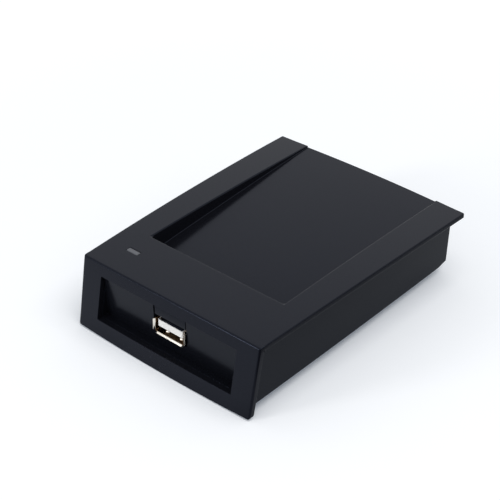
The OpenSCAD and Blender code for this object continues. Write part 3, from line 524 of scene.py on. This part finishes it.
def makeTubes():
    # tubes round the housing screws, with the web that each head clamps
    h = housing
    hole, web, thread = h["screwHole"], h["webLow"], h["threadHole"]
    radius, high, floor = h["tubeRadius"], h["tubeHigh"], reader["floorHigh"] - h["tubeSink"]
    profile = [(hole, floor), (hole, web), (thread, web), (thread, high), (radius, high), (radius, floor),
               (hole, floor)]
    tubes = joined(*[turned(profile, (sx * h["screwX"], y)) for sx in (-1, 1) for y in h["screwYs"]])
    return crease(makePiece("screwTubes", tubes, finishes["housing"], ["bottom_housing"]))


makeHousing()
makeWall()
makeTubes()
print("bottom housing made")


# Feet and screws
feet = dict(radius=5.0, seat=4.6, edge=0.8, x=26.1, ys=(-43.2, 47.4), dish=0.25, ring=1.8, dishFrom=2.2,
            steps=64)


def makeFeet():
    # turned profile: a quarter circle at the rim, a flat ring to stand on and a shallow dish
    f = feet
    bend = np.linspace(0, np.pi / 2, 6)
    rim = np.stack([f["radius"] - f["edge"] * (1 - np.cos(bend)), f["edge"] * (1 - np.sin(bend))], axis=1)
    dish = [(f["radius"] - f["ring"], 0), (f["radius"] - f["dishFrom"], f["dish"]), (0, f["dish"])]
    profile = np.concatenate([[(0, f["seat"]), (f["radius"], f["seat"])], rim, dish])
    shapes = joined(*[turned(profile, (sx * f["x"], y), f["steps"]) for sx in (-1, 1) for y in f["ys"]])
    return crease(makePiece("rubberFeet", shapes, finishes["rubber"], ["rubber_feet"]))


screws = dict(headRadius=2.6, headLow=7.1, headHigh=8.9, dome=0.5, threadRadius=1.45, thread=10.0, pitch=0.9,
              ridge=0.28, cross=1.6, crossHalf=0.32, crossDepth=0.9, crossSoft=0.14, sink=0.05, point=2,
              steps=72, headRows=27, threadRows=121)


def makeScrews():
    # head: z = low + dome * (r / R)^2 + depth * cross, where cross is 1 inside two crossed arms with soft
    # sides; thread: radius = core - ridge * |triangle wave of (angle / 2 pi - height / pitch)|, down to a
    # point
    s = screws
    steps = s["steps"]
    angle = np.arange(steps) * 2 * np.pi / steps
    r = np.linspace(0, s["headRadius"], s["headRows"])[:, None]
    u, v = np.abs(r * np.cos(angle)), np.abs(r * np.sin(angle))

    def within(limit, distance):
        return np.clip((limit - distance) / s["crossSoft"] + 0.5, 0, 1)

    cross = np.maximum(within(s["cross"], u) * within(s["crossHalf"], v),
                       within(s["cross"], v) * within(s["crossHalf"], u))
    face = s["headLow"] + s["dome"] * (r / s["headRadius"]) ** 2 + s["crossDepth"] * cross
    rings = [(s["headRadius"], s["headHigh"]), (0, s["headHigh"])]
    radius = np.concatenate([r + 0 * angle] + [np.full((1, steps), ring) for ring, _ in rings])
    height = np.concatenate([face] + [np.full((1, steps), level) for _, level in rings])
    level = np.linspace(s["headHigh"] - s["sink"], s["headHigh"] + s["thread"], s["threadRows"])[:, None]
    phase = (angle / (2 * np.pi) - level / s["pitch"]) % 1
    shaft = s["threadRadius"] - s["ridge"] * np.abs(2 * phase - 1)
    shaft *= np.clip((level[-1] - level) / s["point"], 0, 1)
    shaft[0] = 0
    shapes = []
    for sx in (-1, 1):
        for y in housing["screwYs"]:
            for ring, high in ((radius, height), (shaft, level + 0 * shaft)):
                across = sx * housing["screwX"] + ring * np.cos(angle)
                points = np.stack([across, y + ring * np.sin(angle), high], axis=-1)
                shapes.append((points.reshape(-1, 3), gridFaces(len(ring), steps, closeColumns=True)))
    return makePiece("housingScrews", joined(*shapes), finishes["screw"], ["housing_screws"])


makeFeet()
makeScrews()
print("feet and screws made")


# Socket
socket = dict(width=13.1, height=5.8, low=10.5, sheet=0.3, corner=0.75, mouth=-50.235, end=-36.235,
              rimStep=1.8, stepDepth=0.3, rimBack=0.08, rimEdge=0.02, shadeRingGap=0.04,
              lip=0.95, lowLip=0.85, lipAngle=42, lowLipAngle=50, lipWide=11.0, lipTall=4.4, lipSheet=0.14,
              lipBend=0.35, lipRoot=0.6, lipBack=0.05, tip=0.3, tipRound=0.99,
              domeXs=(-2.75, 3.4), domeY=-47.9, domeRadius=0.95, domeHigh=0.85, domeSink=0.05)


def lipStrip(length, angle, half, foot, outward, along):
    # a strip that starts flat, bends outward through an arc and ends straight; the corners of its tip are
    # quarter circles: half width(s) = half - tip * (1 - sqrt(1 - s^2)) over the last part of its length
    s = socket
    radius, root, tip = s["lipBend"], s["lipRoot"], s["tip"]
    bend = np.linspace(0, math.radians(angle), 9)
    forward = np.array([0, -1, 0])
    straight = np.linspace(0, length - radius * bend[-1], 14)[1:]
    cosine, sine = np.cos(bend[-1]), np.sin(bend[-1])
    runForward = np.concatenate([[-root], radius * np.sin(bend), radius * sine + straight * cosine])
    runOut = np.concatenate([[0], radius * (1 - np.cos(bend)), radius * (1 - cosine) + straight * sine])
    turn = np.concatenate([[0], bend, np.full(len(straight), bend[-1])])
    distance = np.concatenate([[-root], radius * bend, radius * bend[-1] + straight])
    past = np.clip((distance - (length - tip)) / tip, 0, 1)
    wide = half - tip * (1 - np.sqrt(1 - past ** 2 * s["tipRound"]))
    normal = np.outer(np.cos(turn), outward) - np.outer(np.sin(turn), forward)
    path = foot + np.outer(runForward, forward) + np.outer(runOut, outward)
    ring = np.array([[-1, 0], [1, 0], [1, 1], [-1, 1]], float)
    thick = np.broadcast_to(ring[:, 1] * s["lipSheet"], (len(wide), 4))
    section = np.stack([ring[:, 0] * wide[:, None], thick], axis=-1)
    points, faces = swept(path, np.broadcast_to(along, path.shape), normal, section)
    last = len(points)
    caps = np.array([[3, 2, 1, 0], [last - 4, last - 3, last - 2, last - 1]])
    return points, np.concatenate([faces, caps])


def makeShell():
    # the folded tube: a rounded rectangle carried along Y. Its mouth steps back by rimStep along the upper
    # side, under the tab.
    # The outside and the lips are bright nickel; the inside and the rim's face are a darker, brown copy of
    # the nickel, which is painted shade.
    s = socket
    wide, tall, mouth, end = s["width"] - 2 * s["sheet"], s["height"] - 2 * s["sheet"], s["mouth"], s["end"]
    middle, corner = s["low"] + s["height"] / 2, s["corner"] - s["sheet"]
    outer = roundRectangle(s["width"], s["height"], s["corner"])
    inner = roundRectangle(wide, tall, corner)
    shadeRing = roundRectangle(wide - s["shadeRingGap"], tall - s["shadeRingGap"], corner)
    step = s["rimStep"] * (outer[:, 1] > s["height"] / 2 - s["stepDepth"])

    def between(share):
        return outer * (1 - share) + inner * share

    def tube(stations):
        rings = [np.stack([ring[:, 0], np.minimum(y + step, end), ring[:, 1] + middle], axis=1)
                 for ring, y in stations]
        return np.concatenate(rings), gridFaces(len(rings), len(outer), closeRows=True, closeColumns=True)

    back, edge = mouth + s["rimBack"], mouth + s["rimEdge"]
    bright = tube([(outer, end), (outer, back), (between(0.2), edge), (inner, edge), (inner, end)])
    rooted, up, right = mouth + s["lipBack"], np.array([0, 0, 1]), np.array([1, 0, 0])
    foot = np.array([0, rooted, s["low"] + s["sheet"]])
    lips = [lipStrip(s["lowLip"], s["lowLipAngle"], s["lipWide"] / 2, foot, -up, right)]
    for sx in (-1, 1):
        foot = np.array([sx * (s["width"] / 2 - s["sheet"]), rooted, middle])
        lips.append(lipStrip(s["lip"], s["lipAngle"], s["lipTall"] / 2, foot, sx * right, up))
    # spring domes on the floor of the tube: r = R cos a, z = floor + height sin a, closed by a flat underside
    rise = np.linspace(0, np.pi / 2, 11)
    floor = s["low"] + s["sheet"] - s["domeSink"]
    dome = [(0, floor)] + [(s["domeRadius"] * np.cos(a), floor + s["domeHigh"] * np.sin(a)) for a in rise]
    domes = [turned(dome, (x, s["domeY"]), 32) for x in s["domeXs"]]
    shell = joined(bright, *lips, *domes)
    crease(makePiece("socketShell", shell, finishes["nickel"], ["usb_shell"]), 50)
    # the rim's face is in the painted-shade copy of the nickel too, and stands a little before the bright
    # sheet
    shadedTube = tube([(inner, end), (between(0.9), mouth + 0.03), (between(0.2), mouth + 0.01),
                 (between(0.3), mouth), (inner, mouth), (shadeRing, back), (shadeRing, end)])
    piece = makePiece("socketPaintedShade", shadedTube, finishes["nickelPaintedShade"], ["usb_shell"])
    return crease(piece, 50)


# the last five sizes place a dark sheet on the tongue's upper side, which is painted shade
tongue = dict(width=10.8, low=13.05, high=15.7, front=-50.15, inset=0.1, radius=0.6, topEdge=0.12,
              lowEdge=0.25, edge=0.08, blockLength=4.9, blockGap=0.1, blockInset=0.4, shadeSheetSide=0.3,
              shadeSheetFrom=0.22, shadeSheetTo=5, shadeSheetSink=0.1, shadeSheetRise=0.03)


def makeTongue():
    s, t = socket, tongue
    half, front, end, high = t["width"] / 2, t["front"], s["end"] - t["inset"], t["high"]
    block, inset = s["width"] / 2 - s["sheet"] - t["blockGap"], t["blockInset"]
    lattice, faces = latticeSkin([
        (1, -half, half, front, end, t["low"], high),
        (1, -block, block, end - t["blockLength"], end, s["low"] + inset, s["low"] + s["height"] - inset)])
    piece = makePiece("socketTongue", (lattice, faces), finishes["tongue"],
                      ["usb_insulator"])
    corners = [(t["radius"], dict(x=half, y=front)), (t["topEdge"], dict(y=front, z=high)),
               (t["lowEdge"], dict(y=front, z=t["low"]))]
    roundEdges(piece, lattice, corners, t["edge"])
    # a dark sheet of the housing's plastic on the tongue's upper side, just behind its front edge, is painted
    # shade: it stands for the deep shade under the shell there
    side, near, far = half - t["shadeSheetSide"], front + t["shadeSheetFrom"], end - t["shadeSheetTo"]
    shadeSheet = latticeSkin([(1, -side, side, near, far, high - t["shadeSheetSink"], high + t["shadeSheetRise"])])
    return makePiece("socketTongueShade", shadeSheet, finishes["housing"], ["usb_insulator"])


makeShell()
makeTongue()
print("socket made")


# Status light
light = dict(length=4.8, width=2.0, low=17.8, high=26.0, corner=0.3, edge=0.06)


def makeLight():
    l, c = light, cover
    x, y = l["length"] / 2, l["width"] / 2
    high = l["high"] + topCrown(c["lightY"])
    lattice, faces = latticeSkin([(1, -x, x, c["lightY"] - y, c["lightY"] + y, l["low"], high)])
    shape = lattice + [c["lightX"], 0, 0], faces
    piece = makePiece("statusLight", shape, finishes["lens"], ["status_light"])
    corners = [(l["corner"], dict(x=x, y=c["lightY"] + s * y)) for s in (-1, 1)]
    return roundEdges(piece, lattice, corners, l["edge"])


makeLight()
print("status light made")

# Camera at the photograph's angle
shot = dict(focal=1413.757, azimuth=40.006, elevation=33.707, roll=1.124, right=6.851, up=-16.447,
            distance=491.304, frame=500, sensor=36, near=0.01, far=50)


def makeCamera():
    s = shot
    az, el, roll = (math.radians(s[k]) for k in ("azimuth", "elevation", "roll"))
    back = np.array([math.sin(az) * math.cos(el), -math.cos(az) * math.cos(el), math.sin(el)])
    right = np.array([math.cos(az), math.sin(az), 0])
    level = np.stack([right, np.cross(back, right), back])
    c, k = math.cos(roll), math.sin(roll)
    rows = np.array([[c, k, 0], [-k, c, 0], [0, 0, 1]]) @ level
    place = -rows.T @ np.array([s["right"], s["up"], -s["distance"]]) * mm
    data = bpy.data.cameras.new("camera")
    data.sensor_fit, data.sensor_width = "HORIZONTAL", s["sensor"]
    data.lens = s["sensor"] * s["focal"] / s["frame"]
    data.clip_start, data.clip_end = s["near"], s["far"]
    camera = bpy.data.objects.new("camera", data)
    matrix = np.eye(4)
    matrix[:3, :3], matrix[:3, 3] = rows.T, place
    camera.matrix_world = Matrix(matrix.tolist())
    bpy.context.scene.collection.objects.link(camera)
    bpy.context.scene.camera = camera


makeCamera()

# Floor, world and lamps
# The floor is white paper. To the right of the reader lies a grey card, black further out, which only the
# reader's mirror images and the light that it throws back show: the camera sees white paper all round.
studio = dict(paper=0.97, glow=(0.09, 0.11, 0.14), whiteFrom=0.12, whiteTo=0.9, size=4.0, points=9,
              cardFrom=0.024, cardTo=0.042, carded=0.56, darkFrom=0.06, darkTo=0.064, dark=0.05,
              sky=(0.98, 0.99, 1.0), world=0.5)


def seenRays(nodes, links):
    # 1 for the camera's rays and for those that mirrors and glass send on, 0 for the rest
    path = nodes.new("ShaderNodeLightPath")
    mirrors = nodes.new("ShaderNodeMath")
    seen = nodes.new("ShaderNodeMath")
    mirrors.operation = seen.operation = "MAXIMUM"
    links.new(path.outputs["Is Glossy Ray"], mirrors.inputs[0])
    links.new(path.outputs["Is Transmission Ray"], mirrors.inputs[1])
    links.new(path.outputs["Is Camera Ray"], seen.inputs[0])
    links.new(mirrors.outputs[0], seen.inputs[1])
    return seen.outputs[0]


def makeFloor():
    # a flat sheet on a grid: (u, v, 0)
    t = studio
    u = np.linspace(-t["size"], t["size"], t["points"])
    x, y = np.meshgrid(u, u, indexing="ij")
    points = np.stack([x, y, 0 * x], axis=-1).reshape(-1, 3)
    mesh = bpy.data.meshes.new("floor")
    mesh.from_pydata(points.tolist(), [], gridFaces(t["points"], t["points"]).tolist())
    floor = bpy.data.objects.new("floor", mesh)
    bpy.context.scene.collection.objects.link(floor)
    material = bpy.data.materials.new("floorPaper")
    material.use_nodes = True
    nodes, links = material.node_tree.nodes, material.node_tree.links
    nodes.clear()
    place = nodes.new("ShaderNodeTexCoord")
    split = nodes.new("ShaderNodeSeparateXYZ")
    links.new(place.outputs["Object"], split.inputs[0])

    def smoothStep(value, start, end, before=0, after=1):
        # from one level to another between two places
        band = nodes.new("ShaderNodeMapRange")
        band.interpolation_type = "SMOOTHSTEP"
        band.inputs["From Min"].default_value, band.inputs["From Max"].default_value = start, end
        band.inputs["To Min"].default_value, band.inputs["To Max"].default_value = before, after
        links.new(value, band.inputs["Value"])
        return band.outputs["Result"]

    card = nodes.new("ShaderNodeMath")
    card.operation = "MULTIPLY"
    across = split.outputs["X"]
    links.new(smoothStep(across, t["cardFrom"], t["cardTo"], t["paper"], t["carded"]), card.inputs[0])
    links.new(smoothStep(across, t["darkFrom"], t["darkTo"], 1, t["dark"]), card.inputs[1])
    path = nodes.new("ShaderNodeLightPath")
    level = nodes.new("ShaderNodeMix")
    links.new(path.outputs["Is Camera Ray"], level.inputs["Factor"])
    links.new(card.outputs[0], level.inputs["A"])
    level.inputs["B"].default_value = t["paper"]
    paper = nodes.new("ShaderNodeBsdfDiffuse")
    links.new(level.outputs["Result"], paper.inputs["Color"])
    # its glow grows to plain white with the distance from the reader
    distance = nodes.new("ShaderNodeVectorMath")
    distance.operation = "LENGTH"
    links.new(place.outputs["Object"], distance.inputs[0])
    shade = nodes.new("ShaderNodeMix")
    shade.data_type = "RGBA"
    links.new(smoothStep(distance.outputs["Value"], t["whiteFrom"], t["whiteTo"]), shade.inputs["Factor"])
    shade.inputs["A"].default_value = list(t["glow"]) + [1]
    shade.inputs["B"].default_value = (1, 1, 1, 1)
    glow = nodes.new("ShaderNodeEmission")
    links.new(shade.outputs["Result"], glow.inputs["Color"])
    links.new(seenRays(nodes, links), glow.inputs["Strength"])
    both = nodes.new("ShaderNodeAddShader")
    out = nodes.new("ShaderNodeOutputMaterial")
    links.new(paper.outputs[0], both.inputs[0])
    links.new(glow.outputs[0], both.inputs[1])
    links.new(both.outputs[0], out.inputs["Surface"])
    mesh.materials.append(material)


def makeWorld():
    # the camera, mirrors and glass see plain white; the light that it gives is at a lower level
    world = bpy.data.worlds.new("studio")
    bpy.context.scene.world = world
    world.use_nodes = True
    nodes, links = world.node_tree.nodes, world.node_tree.links
    nodes.clear()
    level = nodes.new("ShaderNodeMix")
    links.new(seenRays(nodes, links), level.inputs["Factor"])
    level.inputs["A"].default_value = studio["world"]
    level.inputs["B"].default_value = 1.0
    light = nodes.new("ShaderNodeBackground")
    light.inputs["Color"].default_value = list(studio["sky"]) + [1]
    links.new(level.outputs["Result"], light.inputs["Strength"])
    out = nodes.new("ShaderNodeOutputWorld")
    links.new(light.outputs[0], out.inputs["Surface"])


def makeLamp(name, direction, distance, size, power):
    # a softbox that faces the reader from a direction
    data = bpy.data.lights.new(name, "AREA")
    data.shape, data.size, data.size_y = "RECTANGLE", size[0], size[1]
    data.energy = power
    lamp = bpy.data.objects.new(name, data)
    back = np.array(direction, float) / np.linalg.norm(direction)
    right = np.cross([0, 0, 1], back)
    right /= np.linalg.norm(right)
    matrix = np.eye(4)
    matrix[:3, :3] = np.stack([right, np.cross(back, right), back], axis=1)
    matrix[:3, 3] = back * distance
    lamp.matrix_world = Matrix(matrix.tolist())
    bpy.context.scene.collection.objects.link(lamp)


# each: direction, distance and size in metres, power
lamps = dict(
    softboxBackLeft=((-0.79, 0.41, 0.46), 1.3, (1.6, 0.9), 0.6),
    softboxTop=((0.3, 0.0, 1.0), 1.3, (1.1, 1.1), 8.3),
    softboxFrontLeft=((-0.42, -0.86, 0.3), 1.3, (0.26, 0.45), 3.6))
makeFloor()
makeWorld()
for name, values in lamps.items():
    makeLamp(name, *values)
print("camera, floor and lamps made")

bpy.context.scene.view_settings.view_transform = "Standard"
